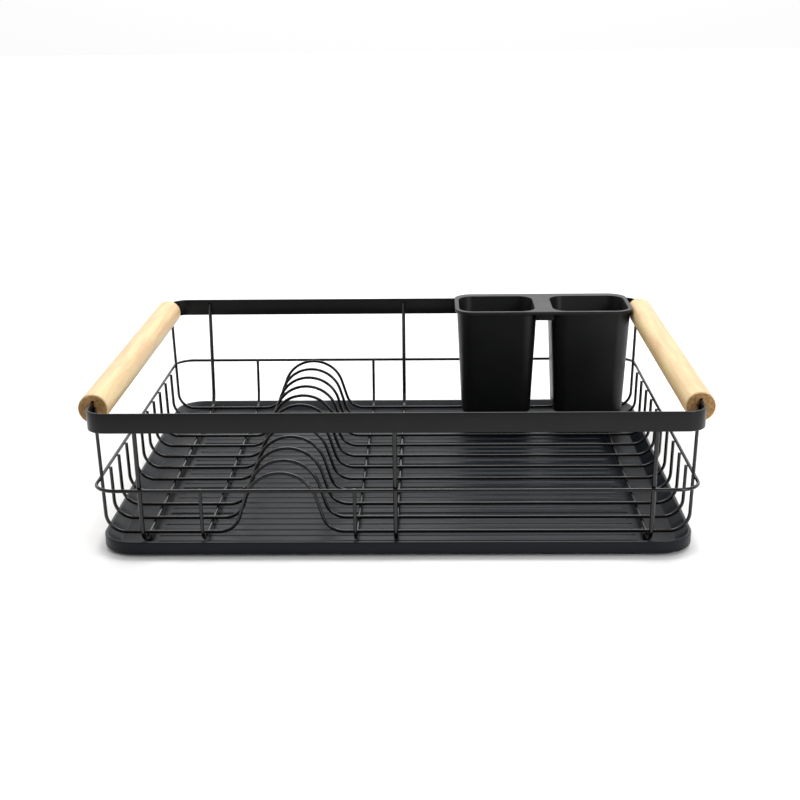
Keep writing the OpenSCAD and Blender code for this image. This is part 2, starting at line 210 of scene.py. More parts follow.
@dataclass(frozen=True)
class Beech:
    """Sanded and clear-lacquered beech, with its grain along Y.

    Attributes:
        name: What the material is and how its surface was made.
        pale: Colour of the early wood, sRGB hex.
        warm: Colour of the late wood, sRGB hex.
        fleck: Colour of the short rays and pores, sRGB hex.
        band_mm: Mean width of a growth band across the grain.
        stretch: How many times longer than wide a band runs.
        fleck_mm: Width of a fleck.
        fleck_stretch: How many times longer than wide a fleck is.
        fleck_share: How strongly the flecks show.
        roughness: Roughness of the lacquer.
        ior: Index of refraction of the lacquer.
        band_span: Noise values at which a band is all late wood and all early wood.
        wander: How much the bands wave.
        fleck_span: Noise values at which a fleck begins and is fully there.
        pore_mm: Depth of a fleck's pore under the lacquer.
        pore_strength: How strongly the pores tilt the light.
    """

    name: str
    pale: str
    warm: str
    fleck: str
    band_mm: float = 5.0
    stretch: float = 14.0
    fleck_mm: float = 0.45
    fleck_stretch: float = 9.0
    fleck_share: float = 0.5
    roughness: float = 0.42
    ior: float = 1.5
    band_span: tuple[float, float] = (0.34, 0.62)
    wander: float = 0.6
    fleck_span: tuple[float, float] = (0.56, 0.72)
    pore_mm: float = 0.04
    pore_strength: float = 0.6

    def build(self) -> bpy.types.Material:
        """Makes the material.

        Returns:
            A node material that reads only Object coordinates.
        """
        material = bpy.data.materials.new(self.name)
        material.use_nodes = True
        tree = material.node_tree
        shader = tree.nodes["Principled BSDF"]
        shader.inputs["IOR"].default_value = self.ior
        shader.inputs["Roughness"].default_value = self.roughness
        place = add_node(tree, "ShaderNodeTexCoord").outputs["Object"]
        along = add_node(
            tree,
            "ShaderNodeMapping",
            inputs={"Vector": place, "Scale": (1.0, 1 / self.stretch, 1.0)},
        )
        bands = add_node(
            tree,
            "ShaderNodeTexNoise",
            inputs={
                "Vector": along.outputs["Vector"],
                "Scale": 1 / (self.band_mm * MM),
                "Detail": 3.0,
                "Distortion": self.wander,
            },
        )
        bands_colour = add_node(
            tree,
            "ShaderNodeValToRGB",
            inputs={"Fac": bands.outputs["Fac"]},
        )
        ramp = bands_colour.color_ramp
        for stop, position, colour in zip(ramp.elements, self.band_span, (self.warm, self.pale)):
            stop.position = position
            stop.color = linear(colour)
        fine = add_node(
            tree,
            "ShaderNodeMapping",
            inputs={"Vector": place, "Scale": (1.0, 1 / self.fleck_stretch, 1.0)},
        )
        pores = add_node(
            tree,
            "ShaderNodeTexNoise",
            inputs={
                "Vector": fine.outputs["Vector"],
                "Scale": 1 / (self.fleck_mm * MM),
                "Detail": 2.0,
            },
        )
        pore_mask = add_node(
            tree,
            "ShaderNodeMapRange",
            inputs={
                "Value": pores.outputs["Fac"],
                "From Min": self.fleck_span[0],
                "From Max": self.fleck_span[1],
                "To Min": 0.0,
                "To Max": self.fleck_share,
            },
        )
        mixed = add_node(
            tree,
            "ShaderNodeMix",
            {"data_type": "RGBA"},
            {
                "Factor": pore_mask.outputs["Result"],
                6: bands_colour.outputs["Color"],
                7: linear(self.fleck),
            },
        )
        tree.links.new(mixed.outputs[2], shader.inputs["Base Color"])
        bump = add_node(
            tree,
            "ShaderNodeBump",
            {"invert": True},
            {
                "Strength": self.pore_strength,
                "Distance": self.pore_mm * MM,
                "Height": pore_mask.outputs["Result"],
            },
        )
        tree.links.new(bump.outputs["Normal"], shader.inputs["Normal"])
        return material


# Dipped and baked epoxy: a smooth black film that carries a bright line along each wire
WIRE_COAT = Finish(
    "steel_epoxy_dipped_black", "#060607", 0.2, 0.02, ior=1.5, grain_mm=1.5, relief_mm=0.003
)
# Baked powder: an even satin black with a faint orange peel that softens the highlights. Its IOR is
# set below the usual 1.5, so that the flat band stays near black under the large soft boxes
POWDER_COAT = Finish(
    "steel_powder_coated_satin_black", "#09090a", 0.33, ior=1.34, grain_mm=1.1, relief_mm=0.008
)
# Injection-moulded polypropylene from a polished tool: charcoal, with soft mirror-like reflections.
# Its IOR is set well below the usual 1.49, which keeps the floor dark at a low angle of view
TRAY_PLASTIC = Finish(
    "polypropylene_moulded_charcoal", "#0e1319", 0.38, 0.03, ior=1.27, grain_mm=3.0, relief_mm=0.004
)
# Injection-moulded polypropylene from a spark-eroded tool: black, matt and very finely grained.
# Its IOR is set a little below the usual 1.49, for the same reason
CADDY_PLASTIC = Finish(
    "polypropylene_moulded_matt_black", "#0c0d0e", 0.45, ior=1.42, grain_mm=0.8, relief_mm=0.006
)
# Moulded soft rubber: deep black and without any gloss
RUBBER = Finish("rubber_moulded_black", "#0c0c0c", 0.8, grain_mm=0.6, relief_mm=0.02)
# Zinc-plated steel, as pressed: pale grey metal with a soft shine
ZINC = Finish("steel_zinc_plated", "#b9bcc0", 0.3, 0.06, metallic=1.0, grain_mm=0.6)
# Turned beech under clear lacquer: pale straw with slightly pinkish bands and short brown flecks
BEECH_LONG = Beech("beech_turned_lacquered", "#e2c993", "#dab181", "#b98c56")
# The same wood sawn across: darker, because the open pores drink the lacquer
BEECH_END = Beech(
    "beech_end_grain",
    "#b08a54",
    "#8a6234",
    "#5f4120",
    band_mm=2.0,
    stretch=1.0,
    fleck_mm=0.5,
    fleck_stretch=1.0,
    fleck_share=0.7,
    roughness=0.6,
)


# ---- Mesh helpers -----------------------------------------------------------------------------


def middle_of(node: str, axis: int) -> float:
    """The middle of a CAD node's box along an axis."""
    low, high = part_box(node)
    return (low[axis] + high[axis]) / 2


def mesh_object(name: str, mesh: bpy.types.Mesh) -> bpy.types.Object:
    """Puts a mesh into the scene.

    Args:
        name: Name of the new object.
        mesh: Its mesh, already in place.

    Returns:
        The new object, at the origin.
    """
    piece = bpy.data.objects.new(name, mesh)
    bpy.context.scene.collection.objects.link(piece)
    return piece


def from_bmesh(name: str, shape: bmesh.types.BMesh) -> bpy.types.Object:
    """Turns a bmesh into an object, with its doubles merged and its faces pointing outwards.

    Args:
        name: Name of the new object.
        shape: The bmesh, which is freed.

    Returns:
        The new object.
    """
    bmesh.ops.remove_doubles(shape, verts=shape.verts, dist=MERGE_DISTANCE)
    bmesh.ops.recalc_face_normals(shape, faces=shape.faces)
    mesh = bpy.data.meshes.new(name)
    shape.to_mesh(mesh)
    shape.free()
    return mesh_object(name, mesh)


def evaluated(piece: bpy.types.Object, name: str) -> bpy.types.Object:
    """Replaces an object by a plain mesh of what its modifiers make.

    Args:
        piece: The object, which is removed.
        name: Name of the new object.

    Returns:
        The new object, without modifiers.
    """
    bpy.context.view_layer.update()
    graph = bpy.context.evaluated_depsgraph_get()
    mesh = bpy.data.meshes.new_from_object(piece.evaluated_get(graph), depsgraph=graph)
    bpy.data.objects.remove(piece)
    mesh.name = name
    return mesh_object(name, mesh)


def smooth(piece: bpy.types.Object, angle: float = 35.0) -> None:
    """Shades a piece smooth and keeps its edges sharper than an angle in degrees."""
    for polygon in piece.data.polygons:
        polygon.use_smooth = True
    piece.data.set_sharp_from_angle(angle=math.radians(angle))


def bevel(piece: bpy.types.Object, width: float, segments: int = 3, angle: float = 40.0) -> None:
    """Adds a Bevel modifier that rounds a piece's edges.

    Args:
        piece: The object that takes the modifier.
        width: Width of the rounding.
        segments: Number of faces across it.
        angle: Least angle of an edge that is rounded, in degrees.
    """
    modifier = piece.modifiers.new("bevel", "BEVEL")
    modifier.width = width
    modifier.segments = segments
    modifier.limit_method = "ANGLE"
    modifier.angle_limit = math.radians(angle)


def combine(piece: bpy.types.Object, other: bpy.types.Object, operation: str) -> None:
    """Adds a Boolean modifier, and hides what it takes.

    Args:
        piece: The object that takes the modifier.
        other: The object that is added or cut away.
        operation: UNION, DIFFERENCE or INTERSECT.
    """
    modifier = piece.modifiers.new(operation.lower(), "BOOLEAN")
    modifier.operation = operation
    modifier.solver = "EXACT"
    modifier.object = other
    other.hide_render = True


def finish_piece(
    piece: bpy.types.Object,
    material: bpy.types.Material | None,
    body: Body,
    replaced: Iterable[str] = (),
) -> None:
    """Gives a piece its material, its body and the nodes that it stands for.

    Args:
        piece: The finished object.
        material: Its material, or nothing if the mesh has its own.
        body: The body that it rides on.
        replaced: Names of the CAD nodes that it stands for.
    """
    if material is not None:
        piece.data.materials.clear()
        piece.data.materials.append(material)
    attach(piece, body.value)
    nodes = list(replaced)
    if nodes:
        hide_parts(*nodes)
    log.info("%s: %d faces on %s", piece.name, len(piece.data.polygons), body.value)


def arc(centre: Point, radius: float, start: float, end: float, steps: int) -> list[Point]:
    """Points on an arc, both ends included.

    Args:
        centre: The arc's centre.
        radius: Its radius.
        start: Its first angle in degrees.
        end: Its last angle in degrees.
        steps: Number of stretches.

    Returns:
        The points in order.
    """
    angles = [math.radians(start + (end - start) * i / steps) for i in range(steps + 1)]
    return [(centre[0] + radius * math.cos(a), centre[1] + radius * math.sin(a)) for a in angles]


def rounded_rectangle(half_x: float, half_y: float, radius: float, steps: int) -> list[Point]:
    """The outline of a rectangle with round corners, anticlockwise.

    Args:
        half_x: Half of its length.
        half_y: Half of its depth.
        radius: Radius of its corners.
        steps: Number of stretches in each corner.

    Returns:
        The outline's points.
    """
    points: list[Point] = []
    for corner, (sx, sy) in enumerate(((1, 1), (-1, 1), (-1, -1), (1, -1))):
        centre = (sx * (half_x - radius), sy * (half_y - radius))
        points += arc(centre, radius, 90 * corner, 90 * corner + 90, steps)
    return points


def rounded_route(corners: Sequence[Point], radii: Sequence[float], step: float) -> list[Point]:
    """A wire's centre line: straight runs with each corner rounded to its own radius.

    Args:
        corners: The sharp corners, ends included.
        radii: One radius for each corner between the ends.
        step: Largest angle between two points of a bend, in degrees.

    Returns:
        The centre line's points.
    """
    points = [corners[0]]
    for before, corner, after, radius in zip(corners, corners[1:], corners[2:], radii):
        into = (Vector(corner) - Vector(before)).normalized()
        out = (Vector(after) - Vector(corner)).normalized()
        turned = math.atan2(into.x * out.y - into.y * out.x, into.dot(out))
        side = math.copysign(1.0, turned)
        start = Vector(corner) - into * radius * math.tan(abs(turned) / 2)
        centre = start + side * radius * Vector((-into.y, into.x))
        first = math.degrees(math.atan2(start.y - centre.y, start.x - centre.x))
        steps = max(2, math.ceil(math.degrees(abs(turned)) / step))
        points += arc(tuple(centre), radius, first, first + math.degrees(turned), steps)
    return points + [corners[-1]]


def loft(name: str, rings: Sequence[Sequence[Vector]]) -> bpy.types.Object:
    """A closed skin over a stack of rings with the same number of points.

    Args:
        name: Name of the new object.
        rings: The rings, from one end to the other. Both ends are capped.

    Returns:
        The new object.
    """
    shape = bmesh.new()
    rows = [[shape.verts.new(point) for point in ring] for ring in rings]
    count = len(rows[0])
    for low, high in zip(rows, rows[1:]):
        for i in range(count):
            j = (i + 1) % count
            shape.faces.new((low[i], low[j], high[j], high[i]))
    shape.faces.new(list(reversed(rows[0])))
    shape.faces.new(rows[-1])
    return from_bmesh(name, shape)


def lathe(name: str, profile: Sequence[Point], steps: int) -> bpy.types.Object:
    """A solid of revolution about Z.

    Args:
        name: Name of the new object.
        profile: Radius and height of each point, from the bottom to the top.
        steps: Number of faces round the axis.

    Returns:
        The new object.
    """
    turns = [2 * math.pi * i / steps for i in range(steps)]
    rings = [[Vector((r * math.cos(a), r * math.sin(a), z)) for a in turns] for r, z in profile]
    return loft(name, rings)


# ---- Geometry Nodes ---------------------------------------------------------------------------


@dataclass
class ShapeTree:
    """A Geometry Nodes tree with named inputs, and what is needed to run it.

    Attributes:
        name: Name of the tree.
        inputs: The socket type of each named input besides the geometry.
        tree: The tree itself.
    """

    name: str
    inputs: dict[str, str]
    tree: bpy.types.NodeTree = field(init=False)

    def __post_init__(self) -> None:
        """Makes the empty tree with its sockets."""
        self.tree = bpy.data.node_groups.new(self.name, "GeometryNodeTree")
        sides = self.tree.interface
        sides.new_socket("Geometry", in_out="INPUT", socket_type="NodeSocketGeometry")
        for name, kind in {**self.inputs, "Material": "NodeSocketMaterial"}.items():
            sides.new_socket(name, in_out="INPUT", socket_type=kind)
        sides.new_socket("Geometry", in_out="OUTPUT", socket_type="NodeSocketGeometry")
        self.start = self.tree.nodes.new("NodeGroupInput")

    def socket(self, name: str) -> Socket:
        """The group input's socket of that name."""
        return self.start.outputs[name]

    def node(
        self,
        kind: str,
        settings: dict[str, object] | None = None,
        inputs: dict[str | int, object] | None = None,
        output: str | int = 0,
    ) -> Socket:
        """Adds a node and gives one of its outputs."""
        return add_node(self.tree, kind, settings, inputs).outputs[output]

    def end(self, geometry: Socket) -> None:
        """Closes the tree: real geometry, shaded smooth, with its material.

        Args:
            geometry: The finished geometry.
        """
        real = self.node("GeometryNodeRealizeInstances", inputs={0: geometry})
        shaded = self.node("GeometryNodeSetShadeSmooth", inputs={0: real, "Shade Smooth": True})
        dressed = self.node(
            "GeometryNodeSetMaterial", inputs={0: shaded, "Material": self.socket("Material")}
        )
        add_node(self.tree, "NodeGroupOutput", inputs={0: dressed})

    def run(
        self, name: str, source: bpy.types.Object, values: dict[str, object]
    ) -> bpy.types.Object:
        """Runs the tree on an object.

        Args:
            name: Name of the new object.
            source: The object that goes in, which is removed.
            values: A value for each named input.

        Returns:
            A plain mesh object.
        """
        modifier = source.modifiers.new(self.name, "NODES")
        modifier.node_group = self.tree
        keys = {
            item.name: item.identifier
            for item in self.tree.interface.items_tree
            if item.in_out == "INPUT"
        }
        for key, value in values.items():
            modifier[keys[key]] = value
        return evaluated(source, name)


def line_mesh(name: str, lines: Iterable[Sequence[Vector]]) -> bpy.types.Object:
    """Open chains of edges.

    Args:
        name: Name of the new object.
        lines: The points of each chain.

    Returns:
        The new object.
    """
    points: list[Vector] = []
    edges: list[tuple[int, int]] = []
    for line in lines:
        first = len(points)
        points += line
        edges += [(first + i, first + i + 1) for i in range(len(line) - 1)]
    mesh = bpy.data.meshes.new(name)
    mesh.from_pydata(points, edges, [])
    return mesh_object(name, mesh)


def wire_tree() -> ShapeTree:
    """A tree that repeats wires along Y and gives them their thickness.

    Returns:
        The tree, with inputs for the wire's radius, its sides, the count and the pitch.
    """
    shape = ShapeTree(
        "repeated_wire",
        {
            "Radius": "NodeSocketFloat",
            "Sides": "NodeSocketInt",
            "Count": "NodeSocketInt",
            "Pitch": "NodeSocketVector",
        },
    )
    section = shape.node(
        "GeometryNodeCurvePrimitiveCircle",
        inputs={"Resolution": shape.socket("Sides"), "Radius": shape.socket("Radius")},
    )
    path = shape.node("GeometryNodeMeshToCurve", inputs={0: shape.socket("Geometry")})
    tube = shape.node(
        "GeometryNodeCurveToMesh",
        inputs={"Curve": path, "Profile Curve": section, "Fill Caps": True},
    )
    row = shape.node(
        "GeometryNodeMeshLine",
        {"mode": "OFFSET"},
        {"Count": shape.socket("Count"), "Offset": shape.socket("Pitch")},
    )
    shape.end(shape.node("GeometryNodeInstanceOnPoints", inputs={"Points": row, "Instance": tube}))
    return shape


def nugget_tree() -> ShapeTree:
    """A tree that puts a flattened weld nugget on each point.

    Returns:
        The tree, with an input for the nuggets' half sizes.
    """
    shape = ShapeTree("weld_nuggets", {"Half Size": "NodeSocketVector"})
    ball = shape.node("GeometryNodeMeshIcoSphere", inputs={"Radius": 1.0, "Subdivisions": 2})
    shape.end(
        shape.node(
            "GeometryNodeInstanceOnPoints",
            inputs={
                "Points": shape.socket("Geometry"),
                "Instance": ball,
                "Scale": shape.socket("Half Size"),
            },
        )
    )
    return shape


def copies_tree() -> ShapeTree:
    """A tree that copies its own geometry onto a line of points.

    Returns:
        The tree, with inputs for the count and the pitch.
    """
    shape = ShapeTree("copies", {"Count": "NodeSocketInt", "Pitch": "NodeSocketVector"})
    row = shape.node(
        "GeometryNodeMeshLine",
        {"mode": "OFFSET"},
        {"Count": shape.socket("Count"), "Offset": shape.socket("Pitch")},
    )
    shape.end(
        shape.node(
            "GeometryNodeInstanceOnPoints",
            inputs={"Points": row, "Instance": shape.socket("Geometry")},
        )
    )
    return shape


def strip_tree() -> ShapeTree:
    """A tree that bends a flat strip with rounded edges round a rectangle.

    Returns:
        The tree, with inputs for the strip and the rectangle that its middle line follows.
    """
    numbers = ("Length", "Depth", "Corner Radius", "Thickness", "Width", "Edge Radius")
    shape = ShapeTree("edge_strip", {name: "NodeSocketFloat" for name in numbers})
    outline = shape.node(
        "GeometryNodeCurvePrimitiveQuadrilateral",
        inputs={"Width": shape.socket("Length"), "Height": shape.socket("Depth")},
    )
    path = shape.node(
        "GeometryNodeFilletCurve",
        {"mode": "POLY"},
        {"Curve": outline, "Radius": shape.socket("Corner Radius"), "Count": 16},
    )
    section = shape.node(
        "GeometryNodeCurvePrimitiveQuadrilateral",
        inputs={"Width": shape.socket("Thickness"), "Height": shape.socket("Width")},
    )
    rounded = shape.node(
        "GeometryNodeFilletCurve",
        {"mode": "POLY"},
        {"Curve": section, "Radius": shape.socket("Edge Radius"), "Count": 4},
    )
    shape.end(
        shape.node(
            "GeometryNodeCurveToMesh",
            inputs={"Curve": path, "Profile Curve": rounded, "Fill Caps": False},
        )
    )
    return shape


def bend_strip(
    tree: ShapeTree,
    name: str,
    sizes: dict[str, float],
    level: float,
    material: bpy.types.Material,
    node: str,
) -> None:
    """Bends a steel strip round the basket in place of a CAD node.

    Args:
        tree: The tree that bends a strip round a rectangle.
        name: Name of the new object.
        sizes: The tree's sizes.
        level: Height of the strip's middle.
        material: The strip's material.
        node: The CAD node.
    """
    source = line_mesh(name, [[Vector((0, 0, 0)), Vector((0, 0, MM))]])
    piece = tree.run(name, source, {**sizes, "Material": material})
    piece.data.transform(Matrix.Translation((0, 0, level)))
    smooth(piece)
    finish_piece(piece, None, Body.RACK, [node])


# ---- Sub-assemblies ---------------------------------------------------------------------------


@dataclass
class WireBasket:
    """The welded wires of the basket, without its rim.

    Attributes:
        plate_d: Diameter of the plate and cross wires.
        frame_d: Diameter of the frame wires.
        ring_d: Diameter of the mid ring's wire.
        bend_r: Bend radius from the floor to a side.
        upright_bend_r: Radius of the slight bend under the rim.
        lean_drop: Height of that bend's corner below the rim band.
        end_lean: Lean of the short sides in degrees.
        side_lean: Lean of the long sides in degrees.
        hump_arch_r: Radius of a hump's arch.
        hump_foot_r: Radius at a hump's feet.
        hump_lean: Lean of a hump's sides in degrees.
        ring_corner_r: Radius of the mid ring's corners.
        ring_round: Share of half the ring wire's width that its section is rounded by, just under 1
            so that the four fillets don't quite meet.
        floor_nugget: Half sizes of a weld nugget on the floor.
        end_nugget: Half sizes of a nugget between the ring and a short side.
        side_nugget: Half sizes of a nugget between the ring and a long side.
        bend_step: Largest angle between two points of a bend, in degrees.
        sides: Number of faces round a wire.
    """

    plate_d: float = 2.8 * MM
    frame_d: float = 3.6 * MM
    ring_d: float = 2.8 * MM
    bend_r: float = 16 * MM
    upright_bend_r: float = 60 * MM
    lean_drop: float = 3 * MM
    end_lean: float = 1.5
    side_lean: float = 3.5
    hump_arch_r: float = 30 * MM
    hump_foot_r: float = 17.5 * MM
    hump_lean: float = 17.0
    ring_corner_r: float = 18 * MM
    ring_round: float = 0.999
    floor_nugget: tuple[float, float, float] = (1.3 * MM, 1.3 * MM, 0.7 * MM)
    end_nugget: tuple[float, float, float] = (0.5 * MM, 1.1 * MM, 0.9 * MM)
    side_nugget: tuple[float, float, float] = (1.1 * MM, 0.5 * MM, 0.9 * MM)
    bend_step: float = 6.0
    sides: int = 16

    def __post_init__(self) -> None:
        """Reads the wires' places from the frame."""
        self.plates = sorted(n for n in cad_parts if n.startswith("plate_wire"))
        self.frames = ["frame_wire_left", "frame_wire_middle", "frame_wire_right"]
        self.crosses = ["cross_wire_left", "cross_wire_right"]
        self.lean_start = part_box("rim_band")[0].z - self.lean_drop
        low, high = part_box("mid_ring")
        self.ring_z = (low.z + high.z) / 2
        self.ring_half = (high.x - self.ring_d / 2, high.y - self.ring_d / 2)
        self.plate_y = [middle_of(n, 1) for n in self.plates]
        self.floor_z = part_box(self.plates[1])[0].z + self.plate_d / 2
        self.hump_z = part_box(self.plates[1])[1].z - self.plate_d / 2
        crests = [
            v.co.x
            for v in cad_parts[self.plates[1]].data.vertices
            if v.co.z > self.hump_z + self.plate_d / 4
        ]
        self.hump_x = (min(crests) + max(crests)) / 2

    def hump_corners(self) -> list[Point]:
        """The three sharp corners of a hump, its apex in the middle."""
        turned = math.radians(90 - self.hump_lean)
        radii = self.hump_arch_r + self.hump_foot_r
        side = (self.hump_z - self.floor_z - radii * (1 - math.cos(turned))) / math.sin(turned)
        reach = radii * math.sin(turned) + side * math.cos(turned)
        foot = reach - self.hump_foot_r * math.tan(turned / 2)
        return [
            (self.hump_x - foot, self.floor_z),
            (self.hump_x, self.floor_z + foot * math.tan(turned)),
            (self.hump_x + foot, self.floor_z),
        ]

    def rise(self, node: str, axis: int, lean: float, level: float, d: float) -> list[Point]:
        """The corners of a wire's right-hand rise, from the floor to its cut end.

        Args:
            node: The CAD node that gives the wire's extent.
            axis: The axis that the wire runs along.
            lean: Lean of the rise in degrees.
            level: Height of the wire's floor run.
            d: The wire's diameter.

        Returns:
            Distances from the middle and heights.
        """
        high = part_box(node)[1]
        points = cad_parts[node].data.vertices
        end_z = max(v.co.z for v in points if v.co[axis] > high[axis] - d)
        slope = math.tan(math.radians(lean))
        if end_z > self.lean_start:
            outer = high[axis] - d / 2
            return [
                (outer - (self.lean_start - level) * slope, level),
                (outer, self.lean_start),
                (outer, end_z),
            ]
        # The slanted cut end reaches furthest out at its lower edge
        outer = high[axis] - d / 2 * math.cos(math.radians(lean))
        return [(outer - (end_z - level) * slope, level), (outer, end_z)]

    def rising_line(
        self, rise: Sequence[Point], middle: Sequence[Point], middle_r: Sequence[float]
    ) -> list[Point]:
        """The whole centre line of a wire that rises alike at both ends.

        Args:
            rise: The corners of its right-hand rise.
            middle: The corners between its rises.
            middle_r: Their radii.

        Returns:
            The centre line's points.
        """
        left = [(-x, z) for x, z in reversed(rise)]
        upper = [self.upright_bend_r] * (len(rise) - 2)
        radii = [*upper, self.bend_r, *middle_r, self.bend_r, *upper]
        return rounded_route([*left, *middle, *rise], radii, self.bend_step)

    def repeat_wire(
        self,
        tree: ShapeTree,
        name: str,
        line: list[Vector],
        d: float,
        pitch: Sequence[float],
        nodes: list[str],
        material: bpy.types.Material,
    ) -> None:
        """Makes a row of equal wires, one in place of each CAD node.

        Args:
            tree: The tree that repeats a wire.
            name: Name of the new object.
            line: The first wire's centre line.
            d: The wires' diameter.
            pitch: The step from one wire to the next.
            nodes: The CAD nodes.
            material: The wires' material.
        """
        piece = tree.run(
            name,
            line_mesh(name, [line]),
            {
                "Radius": d / 2,
                "Sides": self.sides,
                "Count": len(nodes),
                "Pitch": pitch,
                "Material": material,
            },
        )
        smooth(piece)
        finish_piece(piece, None, Body.RACK, nodes)

    def build_plate_wires(self, tree: ShapeTree, material: bpy.types.Material) -> None:
        """Makes the row of plate wires, the two outer ones up to the rim.

        Args:
            tree: The tree that repeats a wire.
            material: The wires' material.
        """
        humps = self.hump_corners()
        radii = [self.hump_foot_r, self.hump_arch_r, self.hump_foot_r]
        pitch = self.plate_y[1] - self.plate_y[0]
        rows = (
            ("plate_wires_outer", [self.plates[0], self.plates[-1]]),
            ("plate_wires_inner", self.plates[1:-1]),
        )
        for name, nodes in rows:
            rise = self.rise(nodes[0], 0, self.end_lean, self.floor_z, self.plate_d)
            line = self.rising_line(rise, humps, radii)
            first = self.plate_y[self.plates.index(nodes[0])]
            step = pitch * (len(self.plates) - 1) if len(nodes) == 2 else pitch
            points = [Vector((x, first, z)) for x, z in line]
            self.repeat_wire(tree, name, points, self.plate_d, (0.0, step, 0.0), nodes, material)

    def build_long_wires(self, tree: ShapeTree, material: bpy.types.Material) -> None:
        """Makes the wires that run from front to back under the plate wires.

        Args:
            tree: The tree that repeats a wire.
            material: The wires' material.
        """
        for nodes, d, name in (
            (self.frames, self.frame_d, "frame_wires"),
            (self.crosses, self.plate_d, "cross_wires"),
        ):
            places = [middle_of(n, 0) for n in nodes]
            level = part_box(nodes[0])[0].z + d / 2
            rise = self.rise(nodes[0], 1, self.side_lean, level, d)
            line = self.rising_line(rise, [], [])
            points = [Vector((places[0], y, z)) for y, z in line]
            pitch = (places[1] - places[0], 0.0, 0.0)
            self.repeat_wire(tree, name, points, d, pitch, nodes, material)

    def build_ring(self, tree: ShapeTree, material: bpy.types.Material) -> None:
        """Makes the mid ring.

        Args:
            tree: The tree that bends a strip round a rectangle.
            material: The ring's material.
        """
        sizes = {
            "Length": 2 * self.ring_half[0],
            "Depth": 2 * self.ring_half[1],
            "Corner Radius": self.ring_corner_r,
            "Thickness": self.ring_d,
            "Width": self.ring_d,
            "Edge Radius": self.ring_d / 2 * self.ring_round,
        }
        bend_strip(tree, "mid_ring_wire", sizes, self.ring_z, material, "mid_ring")

    def build_welds(self, tree: ShapeTree, material: bpy.types.Material) -> None:
        """Makes the coated weld nuggets where wires cross and where they meet the ring.

        Args:
            tree: The tree that puts nuggets on points.
            material: The nuggets' material.
        """
        long_x = [middle_of(n, 0) for n in self.frames + self.crosses]
        contact_z = self.floor_z - self.plate_d / 2
        crossings = [Vector((x, y, contact_z)) for x in long_x for y in self.plate_y]
        inner = [half - self.ring_d / 2 for half in self.ring_half]
        ring_ends = [Vector((s * inner[0], y, self.ring_z)) for s in (-1, 1) for y in self.plate_y]
        ring_sides = [Vector((x, s * inner[1], self.ring_z)) for s in (-1, 1) for x in long_x]
        groups = (
            ("floor_welds", crossings, self.floor_nugget),
            ("ring_welds_at_ends", ring_ends, self.end_nugget),
            ("ring_welds_at_sides", ring_sides, self.side_nugget),
        )
        for name, points, half_size in groups:
            piece = tree.run(
                name,
                line_mesh(name, [[point] for point in points]),
                {"Half Size": half_size, "Material": material},
            )
            finish_piece(piece, None, Body.RACK)


@dataclass
class RimBand:
    """The flat steel strip round the top of the basket.

    Attributes:
        thickness: Thickness of the strip.
        corner_r: Outside radius of its corners.
        edge_r: Rounding of its edges.
    """

    thickness: float = 2 * MM
    corner_r: float = 16 * MM
    edge_r: float = 0.6 * MM

    def build(self, tree: ShapeTree, material: bpy.types.Material) -> None:
        """Makes the band.

        Args:
            tree: The tree that bends a strip round a rectangle.
            material: The band's material.
        """
        low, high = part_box("rim_band")
        sizes = {
            "Length": high.x - low.x - self.thickness,
            "Depth": high.y - low.y - self.thickness,
            "Corner Radius": self.corner_r - self.thickness / 2,
            "Thickness": self.thickness,
            "Width": high.z - low.z,
            "Edge Radius": self.edge_r,
        }
        bend_strip(tree, "rim_band_strip", sizes, middle_of("rim_band", 2), material, "rim_band")


